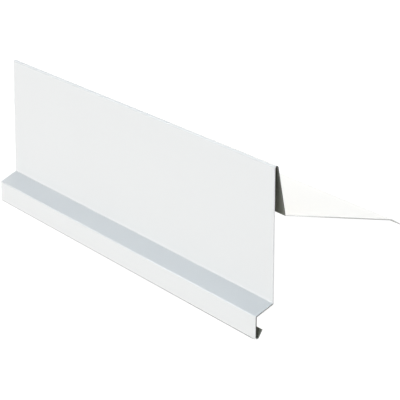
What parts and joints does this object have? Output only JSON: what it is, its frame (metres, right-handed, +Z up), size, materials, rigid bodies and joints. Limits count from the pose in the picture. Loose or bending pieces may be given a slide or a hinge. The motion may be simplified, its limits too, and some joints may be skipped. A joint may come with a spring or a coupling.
{
  "type": "verge flashing",
  "caption": "Folded sheet-metal edge trim for a sloping roof edge: roof flange with turned-down lip, upstand, plumb fascia, sloping ledge and drip face with an open hook.",
  "frame": {"origin": "centre of the base on the floor, under the middle of the length", "axes": "+X along the length, +Y from the fascia side towards the roof flange, +Z up, with the piece lying on its drip fold and on the edge of its lip"},
  "size_m": [0.4, 0.126, 0.0915],
  "materials": {
    "coated_sheet": "satin white coat on the front, dark olive-grey coat on the reverse, bare cut edges"
  },
  "bodies": {
    "root": {"flashing_sheet": "coated_sheet"}
  },
  "joints": []
}
